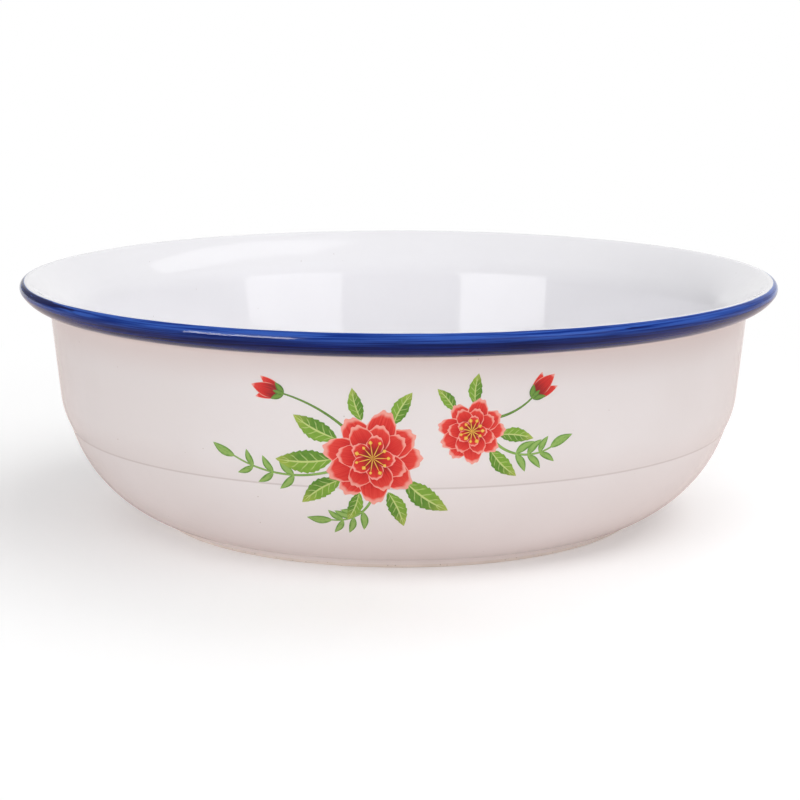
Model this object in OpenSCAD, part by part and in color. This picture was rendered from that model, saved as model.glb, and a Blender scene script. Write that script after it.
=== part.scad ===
// Round ceramic kneading basin: a fired clay body with a flared lip and a low
// foot ring, white glaze inside and out, a blue glaze band on the lip and a
// fired-on floral print on the front wall. Millimetres, +Z up, origin on the
// axis at the level the foot stands on. The print faces -Y.

/* [Overall] */
// Diameter over the glazed lip
rim_d = 300; // [285:1:315]
// Height from the table to the glazed crown of the lip
height = 95.6; // [90:0.2:104]
// Thickness of the clay wall just below the lip
wall_t = 7.4; // [5.5:0.1:9.5]
// Thickness of the clay floor
floor_t = 7.4; // [5:0.1:9]

/* [Lip] */
// Radius of the clay at the edge of the lip
tip_r = 2.1; // [1.6:0.1:2.6]
// Radius of the rounded underside of the lip
under_r = 12.5; // [10:0.5:15]
// Angle at which the underside runs into the edge of the lip
lip_turn = 57; // [48:1:64]
// Slope of the inner side of the lip, above the horizontal
lip_slope = 39; // [32:1:44]
// How far the lip stands out past the wall
lip_reach = 11.4; // [9:0.1:14]
// Radius of the cove between the lip and the wall
cove_r = 2.5; // [1.5:0.1:3.5]
// Radius of the bend from the lip into the inside wall
bend_r = 14; // [8:0.5:20]

/* [Wall] */
// Slope of the outside wall, outwards from the vertical
wall_taper = 5.6; // [3:0.1:8]
// Slope of the inside wall, outwards from the vertical
inner_taper = 10; // [6:0.5:13]
// Height of the incised line round the outside
crease_h = 38.6; // [34:0.2:44]
// Height over which the wall rounds in above the line
shoulder_rise = 11.8; // [8:0.2:14]
// Radius of the rounding above the line
shoulder_r = 31.6; // [26:0.2:40]
// Radius in the bottom of the incised line
crease_r = 1.2; // [0.8:0.1:2]
// Slope of the belly just below the line, from the vertical
belly_start = 16; // [10:1:20]
// Radius between the inside wall and the floor
corner_r = 45; // [35:1:52]

/* [Foot] */
// Diameter of the foot ring at the table
foot_d = 192; // [184:1:200]
// Width of the foot ring
foot_w = 9; // [7:0.5:12]
// Height of the belly's lower edge above the table
foot_h = 5.4; // [4.5:0.1:7]
// Depth of the recess inside the foot ring
recess_h = 3.6; // [3:0.1:4]
// How far the belly stands out past the foot ring
foot_inset = 7.6; // [6:0.2:10]
// Slope of the outer face of the foot ring, from the vertical
foot_taper = 12; // [0:1:20]
// Radius of the belly's lower edge
edge_r = 2.4; // [1.5:0.1:3]
// Bevel on both edges of the foot ring
foot_bevel = 0.6; // [0.4:0.1:1.2]

/* [Glaze] */
// Thickness of the white glaze
glaze_t = 0.4; // [0.3:0.05:0.6]
// Thickness of the blue band on the lip
band_t = 0.45; // [0.3:0.05:0.6]
// Where the blue band starts on the edge of the lip, up from the horizontal
band_start = 78; // [50:1:88]
// Height above the table where the glaze stops on the foot ring
glaze_line = 1.3; // [1.3:0.1:2.4]

/* [Print] */
// Thickness of the fired-on print
print_t = 0.12; // [0.05:0.01:0.2]
// Distance from the crown of the lip down to the middle of the print
print_drop = 43.6; // [40.6:0.5:47.6]
// Spread of the print: its blossoms, stems and sprigs are placed in shares of it
print_w = 110; // [104:1:114]
// Diameter of the large blossom
blossom_d = 34; // [28:1:38]
// Diameter of the small blossom
small_blossom_d = 23; // [18:1:26]
// Length of a bud
bud_l = 11; // [8:0.5:13]
// Length of the longest leaf
leaf_l = 20; // [16:0.5:23]
// Length of the longest leaflet on a sprig
leaflet_l = 9; // [6:0.5:11]
// Width of a leaf as a share of its length
leaf_ratio = 0.42; // [0.3:0.02:0.5]
// Width of a stem
stem_w = 1; // [0.6:0.1:1.6]

/* [Hidden] */
$fn = 96;
// Angle of one step along a rounded stretch of the section
arc_step = 5;

// Lip: centre of the edge, centre of the underside and its lowest level
tip_c = [rim_d / 2 - band_t - tip_r, height - glaze_t - tip_r];
under_c = tip_c + (under_r - tip_r) * [-sin(lip_turn), cos(lip_turn)];
lip_low = under_c[1] - under_r;

// Clay wall: radius of its outer and inner side at a height
neck_r = rim_d / 2 - lip_reach - glaze_t;
function wall_at(z) = neck_r + (z - lip_low) * tan(wall_taper);
function inner_at(z) = neck_r - wall_t + (z - lip_low) * tan(inner_taper);

// Cove: touches the wall and the underside of the lip
cove_off = wall_at(under_c[1]) + cove_r / cos(wall_taper) - under_c[0];
cove_reach = under_r + cove_r;
cove_t = tan(wall_taper);
cove_drop = (cove_off * cove_t
    + sqrt(pow(cove_reach, 2) * (1 + pow(cove_t, 2)) - pow(cove_off, 2))) / (1 + pow(cove_t, 2));
cove_c = under_c + [cove_off - cove_drop * cove_t, -cove_drop];
cove_a = heading(under_c - cove_c);

// Shoulder: rounds in from the wall down to the incised line
shoulder_top = crease_h + shoulder_rise;
shoulder_c = [wall_at(shoulder_top) - shoulder_r * cos(wall_taper), shoulder_top + shoulder_r * sin(wall_taper)];
crease_p = polar(shoulder_c, shoulder_r, -asin((shoulder_c[1] - crease_h) / shoulder_r));

// Belly: one arc from the incised line to the lower edge above the foot
belly_end = [foot_d / 2 + foot_inset, foot_h];
belly_chord = crease_p - belly_end;
belly_turn = 2 * (atan2(belly_chord[0], belly_chord[1]) - belly_start);
belly_stop = belly_start + belly_turn;
belly_r = norm(belly_chord) / (2 * sin(belly_turn / 2));
belly_c = crease_p + belly_r * [-cos(belly_start), sin(belly_start)];

// Incised line: a small hollow that touches the shoulder and the belly
crease_c = lower_crossing(shoulder_c, shoulder_r + crease_r, belly_c, belly_r + crease_r);
crease_up = heading(shoulder_c - crease_c);
crease_down = heading(belly_c - crease_c);

// Lower edge of the belly, and the level of the clay under it
edge_c = polar(belly_c, belly_r - edge_r, -belly_stop);
edge_z = edge_c[1] - edge_r;

// Foot ring, its recess and the floor above it
recess_r = foot_d / 2 - foot_w;
floor_z = recess_h + floor_t;
corner_c = [inner_at(floor_z + corner_r) - corner_r / cos(inner_taper), floor_z + corner_r];
function foot_at(z, d) = foot_d / 2 + z * tan(foot_taper) + d / cos(foot_taper);

// Bend: touches the sloped inside of the lip and the inside wall
slope_n = [-sin(lip_slope), cos(lip_slope)];
bend_q = tip_c + (tip_r - bend_r) * slope_n;
bend_run = (bend_q[0] - inner_at(bend_q[1]) - bend_r / cos(inner_taper))
    / (cos(lip_slope) - sin(lip_slope) * tan(inner_taper));
bend_c = bend_q - bend_run * [cos(lip_slope), sin(lip_slope)];

// Print: places are across and up from its middle, in shares of its spread. A leaf has its
// blossom, its heading and its share of the longest leaf. A stem or sprig starts at the edge
// of its blossom on a heading, passes through a point and ends at a point.
print_h = height - print_drop;
blossoms = [[spot(-0.08, -0.02), blossom_d], [spot(0.23, 0.065), small_blossom_d]];
leaves = [
    [0, 152, 0.86], [0, 183, 1], [0, 216, 0.84], [0, 250, 0.6], [0, 292, 0.74], [0, 322, 0.96],
    [0, 60, 0.66], [0, 106, 0.6], [1, 312, 0.7], [1, 350, 0.62], [1, 84, 0.56], [1, 128, 0.5]
];
bud_stems = [
    [0, 132, spot(-0.27, 0.145), spot(-0.365, 0.18)],
    [1, 28, spot(0.375, 0.13), spot(0.42, 0.165)]
];
sprigs = [
    [0, 200, spot(-0.385, -0.085), spot(-0.52, -0.04)],
    [1, 331, spot(0.385, -0.02), spot(0.48, -0.005)],
    [0, 270, spot(-0.12, -0.215), spot(-0.21, -0.245)]
];
// Petals round a blossom, and how far their rounds overlap
outer_petals = 9;
petal_swell = 1.15;
// Where leaves and stems start, as a share of the blossom's radius
leaf_root = 0.82;
// How far a stem runs on into what is on its end, as a share of its sweep
stem_tuck = 1.08;
// Width of a bud as a share of its length
bud_ratio = 0.62;
// Leaflets of a sprig: how many pairs, where the first pair sits and how far they turn out
leaflet_pairs = 3;
leaflet_from = 0.4;
leaflet_angle = 48;
// Stamens of a blossom, their ring as a share of its diameter, and the size of a dot
stamen_count = 11;
stamen_ring = 0.16;
stamen_d = 1.3;

// Place in the print, in shares of its spread
function spot(x, y) = print_w * [x, y];

// Point round c at radius r and angle a
function polar(c, r, a) = c + r * [cos(a), sin(a)];

// Direction of v in degrees
function heading(v) = atan2(v[1], v[0]);

// Points of an arc from angle a to angle b, both ends included
function arc(c, r, a, b) =
    let (n = max(1, ceil(abs(b - a) / arc_step)))
    [for (i = [0:n]) polar(c, r, a + (b - a) * i / n)];

// Middle of the circle through three points
function circle_through(a, b, c) =
    let (m = b - a, n = c - a)
    a + [n[1] * (m * m) - m[1] * (n * n), m[0] * (n * n) - n[0] * (m * m)] / (2 * cross(m, n));

// Crossing of two circles on the lower side of the line from c2 to c1
function lower_crossing(c1, r1, c2, r2) =
    let (
        gap = norm(c1 - c2),
        along = (c1 - c2) / gap,
        reach = (pow(gap, 2) + pow(r2, 2) - pow(r1, 2)) / (2 * gap),
        side = sqrt(pow(r2, 2) - pow(reach, 2))
    )
    c2 + reach * along + side * [along[1], -along[0]];

function reversed(list) = [for (i = [len(list) - 1:-1:0]) list[i]];
function after_first(list) = [for (i = [1:len(list) - 1]) list[i]];

// Section lines, grown by d out of the clay. Each runs from the lip downwards.
function lip_line(d) = concat(
    arc(tip_c, tip_r + d, band_start, lip_turn - 90),
    after_first(arc(under_c, under_r + d, lip_turn - 90, cove_a - 180))
);
function wall_line(d) = concat(
    reversed(arc(cove_c, cove_r - d, 180 - wall_taper, cove_a)),
    arc(shoulder_c, shoulder_r + d, -wall_taper, crease_up - 180),
    after_first(arc(crease_c, crease_r - d, crease_up, crease_down)),
    after_first(arc(belly_c, belly_r + d, crease_down - 180, -belly_stop))
);
function foot_line(d) = concat(
    arc(edge_c, edge_r + d, -belly_stop, -90),
    [[foot_at(edge_z - d, d), edge_z - d], [foot_at(glaze_line, d), glaze_line]]
);
function outside_line(d) = concat(wall_line(d), after_first(foot_line(d)));
function inside_line(d) = concat(
    arc(tip_c, tip_r + d, band_start, 90 + lip_slope),
    arc(bend_c, bend_r + d, 90 + lip_slope, 180 - inner_taper),
    arc(corner_c, corner_r - d, -inner_taper, -90),
    [[0, floor_z + d]]
);
function base_line(d) = [
    [0, recess_h - d], [recess_r - d, recess_h - d], [recess_r - d, glaze_line]
];
function bare_foot() = [
    [foot_at(foot_bevel, 0), foot_bevel], [foot_d / 2 - foot_bevel, 0],
    [recess_r + foot_bevel, 0], [recess_r, foot_bevel]
];

// Ring between two section lines, turned about the axis
module coat(inner, outer) {
    rotate_extrude() polygon(concat(inner, reversed(outer)));
}

// Thin film on the glazed front wall, in the shape of the flat outline given.
// Layer 0 lies on the glaze and layer 1 on layer 0.
module film(layer = 0) {
    under = glaze_t + layer * print_t;
    intersection() {
        coat(wall_line(under), wall_line(under + print_t));
        translate([0, 0, print_h]) rotate([90, 0, 0]) linear_extrude(rim_d / 2) children();
    }
}

// Outline of a pointed leaf that starts at the origin and runs along +X
module leaf_outline(l, w) {
    r = (pow(l, 2) + pow(w, 2)) / (4 * w);
    translate([l / 2, 0]) intersection_for (side = [-1, 1]) translate([0, side * (r - w / 2)]) circle(r);
}

// Outline of an open blossom: a disc with rounded petals round its edge
module blossom_outline(d) {
    petal_r = d / 2 * sin(180 / outer_petals) * petal_swell;
    circle(d / 2 - petal_r);
    for (i = [0:outer_petals - 1]) rotate(i * 360 / outer_petals) translate([d / 2 - petal_r, 0]) circle(petal_r);
}

module blossom_outlines() {
    for (b = blossoms) translate(b[0]) blossom_outline(b[1]);
}

// Point near the edge of a blossom, on a heading from its middle
function root(index, turn) = polar(blossoms[index][0], blossoms[index][1] / 2 * leaf_root, turn);

// Stem as an arc from its root: its middle, the angles of its start and its sweep,
// a point along it, and its direction there
function stem_c(s) = circle_through(root(s[0], s[1]), s[2], s[3]);
function stem_from(s) = heading(root(s[0], s[1]) - stem_c(s));
function stem_sweep(s) = (heading(s[3] - stem_c(s)) - stem_from(s) + 540) % 360 - 180;
function stem_at(s, t) = polar(stem_c(s), norm(s[3] - stem_c(s)), stem_from(s) + t * stem_sweep(s));
function stem_way(s, t) = stem_from(s) + t * stem_sweep(s) + 90 * sign(stem_sweep(s));

module stem_outline(s) {
    r = norm(s[3] - stem_c(s));
    translate(stem_c(s)) intersection() {
        difference() {
            circle(r + stem_w / 2);
            circle(r - stem_w / 2);
        }
        polygon(concat([[0, 0]], [for (t = [0, 0.5, stem_tuck]) polar([0, 0], 2 * r, stem_from(s) + t * stem_sweep(s))]));
    }
}

module bud_outlines() {
    for (s = bud_stems) translate(s[3]) rotate(stem_way(s, 1)) leaf_outline(bud_l, bud_l * bud_ratio);
}

// Stem with pairs of leaflets, shorter towards its end, and one leaflet on the end
module sprig_outline(s) {
    stem_outline(s);
    for (i = [0:leaflet_pairs - 1], side = [-1, 1]) {
        t = leaflet_from + (1 - leaflet_from) * i / leaflet_pairs;
        l = leaflet_l * (1 - t / 3);
        translate(stem_at(s, t)) rotate(stem_way(s, t) + side * leaflet_angle) leaf_outline(l, l * leaf_ratio);
    }
    translate(s[3]) rotate(stem_way(s, 1)) leaf_outline(leaflet_l, leaflet_l * leaf_ratio);
}

module leaf_outlines() {
    for (p = leaves) {
        l = leaf_l * p[2];
        translate(root(p[0], p[1])) rotate(p[1]) leaf_outline(l, l * leaf_ratio);
    }
}

// Fired clay: floor, wall, lip and foot ring in one piece
module clay_body() {
    color("#d8cfc4") rotate_extrude() polygon(concat(
        reversed(inside_line(0)),
        after_first(lip_line(0)),
        after_first(outside_line(0)),
        bare_foot(),
        [[recess_r, recess_h], [0, recess_h]]
    ));
}

module inside_glaze() {
    color("#f4f4f8") coat(inside_line(0), inside_line(glaze_t));
}

module outside_glaze() {
    color("#efebe8") coat(outside_line(0), outside_line(glaze_t));
}

module base_glaze() {
    color("#ece7e2") coat(base_line(0), base_line(glaze_t));
}

module rim_band() {
    color("#1c3f94") coat(lip_line(0), lip_line(band_t));
}

module blossom_print() {
    color("#d8322c") film() blossom_outlines();
}

// Yellow dots on the blossoms, one film above the red
module stamen_print() {
    color("#e8b93a") film(1)
        for (b = blossoms, i = [0:stamen_count - 1])
            translate(polar(b[0], b[1] * stamen_ring, i * 360 / stamen_count)) circle(d = stamen_d);
}

module bud_print() {
    color("#d8322c") film() bud_outlines();
}

module leaf_print() {
    color("#78af46") film() difference() {
        leaf_outlines();
        blossom_outlines();
    }
}

module sprig_print() {
    color("#78af46") film() difference() {
        for (s = sprigs) sprig_outline(s);
        leaf_outlines();
        blossom_outlines();
    }
}

module stem_print() {
    color("#5d9438") film() difference() {
        for (s = bud_stems) stem_outline(s);
        leaf_outlines();
        blossom_outlines();
        bud_outlines();
    }
}

clay_body();
inside_glaze();
outside_glaze();
base_glaze();
rim_band();
blossom_print();
stamen_print();
bud_print();
leaf_print();
sprig_print();
stem_print();
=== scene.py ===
"""Looks of a round ceramic kneading basin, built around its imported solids.

Fired clay, coats of white glaze and a cobalt band are turned on one section, and a floral
print lies on the front wall. Sizes are in millimetres until a mesh is made, with +Z up along
the axis and the print facing -Y.
"""

import logging
import math
from collections.abc import Callable
from dataclasses import dataclass, field
from enum import Enum

import bmesh
import bpy
from mathutils import Matrix, Vector, noise


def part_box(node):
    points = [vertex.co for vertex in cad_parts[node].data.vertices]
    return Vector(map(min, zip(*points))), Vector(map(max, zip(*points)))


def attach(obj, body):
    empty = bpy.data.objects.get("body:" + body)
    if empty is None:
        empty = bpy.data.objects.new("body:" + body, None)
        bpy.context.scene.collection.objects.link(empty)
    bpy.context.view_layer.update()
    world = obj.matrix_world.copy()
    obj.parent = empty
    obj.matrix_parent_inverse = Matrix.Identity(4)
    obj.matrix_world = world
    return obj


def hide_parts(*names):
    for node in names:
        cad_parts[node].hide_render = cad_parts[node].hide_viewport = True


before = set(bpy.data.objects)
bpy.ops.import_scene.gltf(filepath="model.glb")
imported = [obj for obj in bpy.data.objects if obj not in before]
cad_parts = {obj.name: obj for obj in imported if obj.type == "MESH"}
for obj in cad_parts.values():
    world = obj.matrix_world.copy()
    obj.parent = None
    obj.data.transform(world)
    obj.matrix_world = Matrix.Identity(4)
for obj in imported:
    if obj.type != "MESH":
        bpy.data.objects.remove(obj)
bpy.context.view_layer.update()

LOG = logging.getLogger("basin")
BODY = "root"
MM = 0.001
# Steps of a turned piece round the axis, and of a section along its arcs and straight stretches
TURN_STEPS = 288
ARC_STEP = 2.5
LINE_STEP = 5.0
# Edges that turn by more than this stay crisp
SHARP_ANGLE = math.radians(42)
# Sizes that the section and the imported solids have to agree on
SIZE_TOLERANCE = 0.5
# Index of refraction of the fired print
INK_IOR = 1.5

Colour = tuple[float, float, float]
Socket = bpy.types.NodeSocket
Outline = Callable[[float, float], Vector]


def polar(centre: Vector, radius: float, degrees: float) -> Vector:
    """Return the flat point at an angle round a centre."""
    angle = math.radians(degrees)
    return centre + radius * Vector((math.cos(angle), math.sin(angle)))


def heading(vector: Vector) -> float:
    """Return the direction of a flat vector in degrees."""
    return math.degrees(math.atan2(vector.y, vector.x))


def arc(centre: Vector, radius: float, start: float, stop: float) -> list[Vector]:
    """Return the points of an arc, both ends included.

    Args:
        centre: Middle of the arc.
        radius: Radius of the arc.
        start: Angle of the first point in degrees.
        stop: Angle of the last point in degrees.

    Returns:
        Points from the start to the stop, at most ARC_STEP apart.
    """
    steps = max(1, math.ceil(abs(stop - start) / ARC_STEP))
    return [polar(centre, radius, start + (stop - start) * i / steps) for i in range(steps + 1)]


def line(start: Vector, stop: Vector) -> list[Vector]:
    """Return points along a straight stretch, without its two ends."""
    steps = max(1, math.ceil((stop - start).length / LINE_STEP))
    return [start.lerp(stop, i / steps) for i in range(1, steps)]


def rounded(before: Vector, corner: Vector, after: Vector, radius: float) -> list[Vector]:
    """Return a corner as a short curve.

    Args:
        before: Point that the section comes from.
        corner: Point that is rounded away.
        after: Point that the section runs on to.
        radius: Distance from the corner at which the curve starts and ends.

    Returns:
        Points of the curve.
    """
    start = corner + radius * (before - corner).normalized()
    stop = corner + radius * (after - corner).normalized()
    shares = [i / 6 for i in range(7)]
    return [start.lerp(corner, t).lerp(corner.lerp(stop, t), t) for t in shares]


def ease(value: float, low: float, high: float) -> float:
    """Return 0 below low, 1 above high and a smooth step between them."""
    share = min(1.0, max(0.0, (value - low) / (high - low)))
    return share * share * (3 - 2 * share)


@dataclass
class Section:
    """Section of the basin as points (radius, height).

    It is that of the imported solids, with a slight roll on the lip's slope and rounder edges at the foot.
    A line grown by d lies that far outside the clay. The lines of the wall run from the lip downwards.
    """

    rim_d: float = 300.0
    height: float = 95.6
    wall_t: float = 7.4
    floor_t: float = 7.4
    tip_r: float = 2.1
    under_r: float = 12.5
    lip_turn: float = 57.0
    lip_slope: float = 39.0
    lip_roll: float = 7.0
    lip_reach: float = 11.4
    cove_r: float = 2.5
    bend_r: float = 14.0
    wall_taper: float = 5.6
    inner_taper: float = 10.0
    crease_h: float = 38.6
    shoulder_rise: float = 11.8
    shoulder_r: float = 31.6
    crease_r: float = 1.2
    belly_start: float = 16.0
    corner_r: float = 45.0
    foot_d: float = 192.0
    foot_w: float = 9.0
    foot_h: float = 5.4
    recess_h: float = 3.6
    foot_inset: float = 7.6
    foot_taper: float = 12.0
    edge_r: float = 2.4
    foot_round: float = 0.6
    groove_round: float = 1.0
    glaze_t: float = 0.4
    band_t: float = 0.45
    band_start: float = 78.0
    glaze_line: float = 1.3

    def __post_init__(self) -> None:
        """Work out the centres and levels that the section lines share."""
        self._place_lip()
        self._place_wall()
        self._place_foot()
        self._place_bend()

    def _place_lip(self) -> None:
        """Place the edge and underside of the lip, and the cove below it."""
        tip_out = self.rim_d / 2 - self.band_t - self.tip_r
        self.tip_c = Vector((tip_out, self.height - self.glaze_t - self.tip_r))
        self.under_c = polar(self.tip_c, self.under_r - self.tip_r, 90 + self.lip_turn)
        self.lip_low = self.under_c.y - self.under_r
        self.neck_r = self.rim_d / 2 - self.lip_reach - self.glaze_t
        slope = math.tan(math.radians(self.wall_taper))
        lean = 1 + slope * slope
        reach = self.under_r + self.cove_r
        offset = self.wall_at(self.under_c.y, self.cove_r) - self.under_c.x
        drop = (offset * slope + math.sqrt(reach * reach * lean - offset * offset)) / lean
        self.cove_c = self.under_c + Vector((offset - drop * slope, -drop))
        self.cove_a = heading(self.under_c - self.cove_c)

    def _place_wall(self) -> None:
        """Place the shoulder, the belly and the incised line between them."""
        top = self.crease_h + self.shoulder_rise
        self.shoulder_c = polar(Vector((self.wall_at(top), top)), -self.shoulder_r, -self.wall_taper)
        drop = (self.shoulder_c.y - self.crease_h) / self.shoulder_r
        crease_p = polar(self.shoulder_c, self.shoulder_r, -math.degrees(math.asin(drop)))
        chord = crease_p - Vector((self.foot_d / 2 + self.foot_inset, self.foot_h))
        turn = 2 * (math.degrees(math.atan2(chord.x, chord.y)) - self.belly_start)
        self.belly_stop = self.belly_start + turn
        self.belly_r = chord.length / (2 * math.sin(math.radians(turn / 2)))
        self.belly_c = polar(crease_p, -self.belly_r, -self.belly_start)
        self.crease_c = self._crease_centre()
        self.crease_up = heading(self.shoulder_c - self.crease_c)
        self.crease_down = heading(self.belly_c - self.crease_c) % 360

    def _crease_centre(self) -> Vector:
        """Find the small hollow that touches the shoulder and the belly.

        Returns:
            Middle of the hollow.
        """
        near = self.shoulder_r + self.crease_r
        far = self.belly_r + self.crease_r
        between = self.shoulder_c - self.belly_c
        along = between.normalized()
        reach = (between.length_squared + far * far - near * near) / (2 * between.length)
        side = math.sqrt(far * far - reach * reach)
        return self.belly_c + reach * along + side * Vector((along.y, -along.x))

    def _place_foot(self) -> None:
        """Place the lower edge of the belly, the recess under the foot and the inner corner."""
        self.edge_c = polar(self.belly_c, self.belly_r - self.edge_r, -self.belly_stop)
        self.edge_z = self.edge_c.y - self.edge_r
        self.recess_r = self.foot_d / 2 - self.foot_w
        self.floor_z = self.recess_h + self.floor_t
        level = self.floor_z + self.corner_r
        self.corner_c = Vector((self.inner_at(level, self.corner_r), level))

    def _place_bend(self) -> None:
        """Place the slightly rolled slope of the lip, and the bend between it and the inside wall."""
        self.roll_start = 90 + self.lip_slope - self.lip_roll
        self.roll_stop = 90 + self.lip_slope + self.lip_roll
        middle = Vector((0.0, 0.0))
        first, last = polar(middle, 1.0, self.roll_start), polar(middle, 1.0, self.roll_stop)
        facing = polar(middle, 1.0, 180 - self.inner_taper)
        on_wall = Vector((self.inner_at(self.lip_low), self.lip_low))
        reach = on_wall - self.tip_c - self.tip_r * first + self.bend_r * (last - facing)
        self.roll_r = reach.dot(facing) / (last - first).dot(facing)
        self.roll_c = self.tip_c + (self.tip_r - self.roll_r) * first
        self.bend_c = self.roll_c + (self.roll_r - self.bend_r) * last

    def wall_at(self, z: float, d: float = 0.0) -> float:
        """Return the radius of the outside wall at a height, grown by d."""
        taper = math.radians(self.wall_taper)
        return self.neck_r + (z - self.lip_low) * math.tan(taper) + d / math.cos(taper)

    def inner_at(self, z: float, d: float = 0.0) -> float:
        """Return the radius of the inside wall at a height, grown inwards by d."""
        taper = math.radians(self.inner_taper)
        return self.neck_r - self.wall_t + (z - self.lip_low) * math.tan(taper) - d / math.cos(taper)

    def foot_at(self, z: float, d: float = 0.0) -> float:
        """Return the radius of the foot ring's outer face at a height, grown by d."""
        taper = math.radians(self.foot_taper)
        return self.foot_d / 2 + z * math.tan(taper) + d / math.cos(taper)

    def surface_at(self, z: float, d: float) -> float:
        """Return the radius of the outside below the lip at a height.

        Args:
            z: Height on the wall, the incised line or the belly.
            d: Distance outside the clay.

        Returns:
            Radius of that surface.
        """
        hollow = self.crease_r - d
        if z >= self.shoulder_c.y - (self.shoulder_r + d) * math.sin(math.radians(self.wall_taper)):
            return self.wall_at(z, d)
        if z > self.crease_c.y + hollow * math.sin(math.radians(self.crease_up)):
            centre, radius = self.shoulder_c, self.shoulder_r + d
        elif z < self.crease_c.y + hollow * math.sin(math.radians(self.crease_down)):
            centre, radius = self.belly_c, self.belly_r + d
        else:
            return self.crease_c.x - math.sqrt(hollow * hollow - (z - self.crease_c.y) ** 2)
        return centre.x + math.sqrt(radius * radius - (z - centre.y) ** 2)

    def lip_line(self, d: float) -> list[Vector]:
        """Return the edge and underside of the lip, grown by d."""
        edge = arc(self.tip_c, self.tip_r + d, self.band_start, self.lip_turn - 90)
        return edge + arc(self.under_c, self.under_r + d, self.lip_turn - 90, self.cove_a - 180)[1:]

    def outside_line(self, d: float) -> list[Vector]:
        """Follow the outside from the cove down to the glaze line on the foot.

        Args:
            d: Distance outside the clay.

        Returns:
            Points of the line.
        """
        cove = arc(self.cove_c, self.cove_r - d, self.cove_a, 180 - self.wall_taper)
        shoulder = arc(self.shoulder_c, self.shoulder_r + d, -self.wall_taper, self.crease_up - 180)
        crease = arc(self.crease_c, self.crease_r - d, self.crease_up, self.crease_down)
        belly = arc(self.belly_c, self.belly_r + d, self.crease_down - 180, -self.belly_stop)
        edge = arc(self.edge_c, self.edge_r + d, -self.belly_stop, -90)
        corner = Vector((self.foot_at(self.edge_z - d, d), self.edge_z - d))
        end = Vector((self.foot_at(self.glaze_line, d), self.glaze_line))
        groove = rounded(edge[-1], corner, end, self.groove_round)
        wall = line(cove[-1], shoulder[0])
        return cove + wall + shoulder + crease[1:] + belly[1:] + edge[1:] + groove + [end]

    def inside_line(self, d: float) -> list[Vector]:
        """Follow the inside from the crown of the lip to the middle of the floor.

        Args:
            d: Distance outside the clay.

        Returns:
            Points of the line.
        """
        crown = arc(self.tip_c, self.tip_r + d, self.band_start, self.roll_start)
        slope = arc(self.roll_c, self.roll_r + d, self.roll_start, self.roll_stop)
        bend = arc(self.bend_c, self.bend_r + d, self.roll_stop, 180 - self.inner_taper)
        corner = arc(self.corner_c, self.corner_r - d, -self.inner_taper, -90)
        middle = Vector((0.0, self.floor_z + d))
        wall = line(bend[-1], corner[0])
        floor = line(corner[-1], middle)
        return crown + slope[1:] + bend[1:] + wall + corner + floor + [middle]

    def base_line(self, d: float) -> list[Vector]:
        """Follow the recess under the foot from its middle to the glaze line.

        Args:
            d: Distance outside the clay.

        Returns:
            Points of the line.
        """
        middle = Vector((0.0, self.recess_h - d))
        corner = Vector((self.recess_r - d, self.recess_h - d))
        end = Vector((self.recess_r - d, self.glaze_line))
        round_corner = rounded(middle, corner, end, self.groove_round)
        return [middle] + line(middle, round_corner[0]) + round_corner + [end]

    def bare_foot(self) -> list[Vector]:
        """Follow the unglazed face of the foot ring, from its outside to its inside.

        Returns:
            Points of the line.
        """
        outer = Vector((self.foot_at(self.glaze_line), self.glaze_line))
        low_outer = Vector((self.foot_d / 2, 0.0))
        low_inner = Vector((self.recess_r, 0.0))
        inner = Vector((self.recess_r, self.glaze_line))
        return (
            rounded(outer, low_outer, low_inner, self.foot_round)
            + rounded(low_outer, low_inner, inner, self.foot_round)
        )

    def check(self) -> None:
        """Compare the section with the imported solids.

        Raises:
            ValueError: They differ in size.
        """
        low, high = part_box("rim_band")
        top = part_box("inside_glaze")[1].z
        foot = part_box("clay_body")[0].z
        for name, own, packed in (
            ("rim", self.rim_d, (high.x - low.x) / MM),
            ("height", self.height, (top - foot) / MM),
        ):
            if abs(own - packed) > SIZE_TOLERANCE:
                raise ValueError(f"{name} is {own} here and {packed:.2f} in the packed solids")


@dataclass(frozen=True)
class HandWork:
    """Slight unevenness that throwing and firing leave, as a smooth shift of every point."""

    oval: float = 0.10
    sway: float = 0.10
    wave: float = 55.0
    settle: float = 30.0
    oval_turn: float = 0.7
    rise_spot: Vector = Vector((7.3, 2.1, 5.9))

    def moved(self, point: Vector) -> Vector:
        """Shift a point, less and less towards the foot.

        Args:
            point: Place in millimetres.

        Returns:
            The place after the shift.
        """
        turn = math.atan2(point.y, point.x)
        share = ease(point.z, 0.0, self.settle)
        spot = point / self.wave
        out = share * (self.oval * math.cos(2 * turn + self.oval_turn) + self.sway * noise.noise(spot))
        rise = share * self.sway * noise.noise(spot + self.rise_spot)
        return point + Vector((out * math.cos(turn), out * math.sin(turn), rise))


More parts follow.
